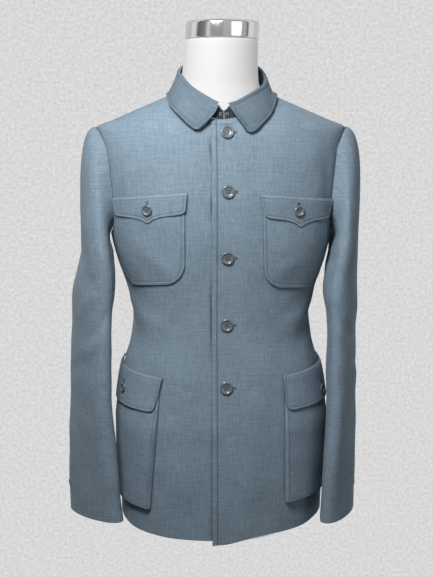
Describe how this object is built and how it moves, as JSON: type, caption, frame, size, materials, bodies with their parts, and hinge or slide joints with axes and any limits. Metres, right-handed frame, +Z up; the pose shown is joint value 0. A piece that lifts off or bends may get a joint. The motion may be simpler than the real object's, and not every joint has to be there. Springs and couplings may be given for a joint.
{
  "type": "mao jacket on dress form",
  "caption": "Long-sleeved stand-and-fall collar jacket with buttoned front and flapped patch pockets, worn by a limbless dress form.",
  "frame": {"origin": "centre of the dress form's flat base, on the surface it stands on", "axes": "+Z up, -Y towards the front, +X towards the wearer's left"},
  "size_m": [0.5199, 0.2472, 0.9081],
  "materials": {
    "wool": "fine steel blue-grey worsted, matt with a faint sheen",
    "button": "polished rim and dished middle",
    "hook": "plain wire",
    "form_cover": "smooth stretched white jersey",
    "chrome": "polished"
  },
  "bodies": {
    "root": {"front_left": "wool", "front_right": "wool", "back": "wool", "sleeve_left_top": "wool", "sleeve_left_under": "wool", "sleeve_right_top": "wool", "sleeve_right_under": "wool", "collar_stand": "wool", "collar_fall": "wool", "chest_pocket_left": "wool", "chest_pocket_right": "wool", "chest_flap_left": "wool", "chest_flap_right": "wool", "lower_pocket_left": "wool", "lower_pocket_right": "wool", "lower_flap_left": "wool", "lower_flap_right": "wool", "front_button_1": "button", "front_button_2": "button", "front_button_3": "button", "front_button_4": "button", "front_button_5": "button", "chest_button_left": "button", "chest_button_right": "button", "lower_button_left": "button", "lower_button_right": "button", "cuff_button_left": "button", "cuff_button_right": "button", "collar_hook": "hook", "collar_eye": "hook", "form_torso": "form_cover", "form_cap": "chrome"}
  },
  "joints": []
}
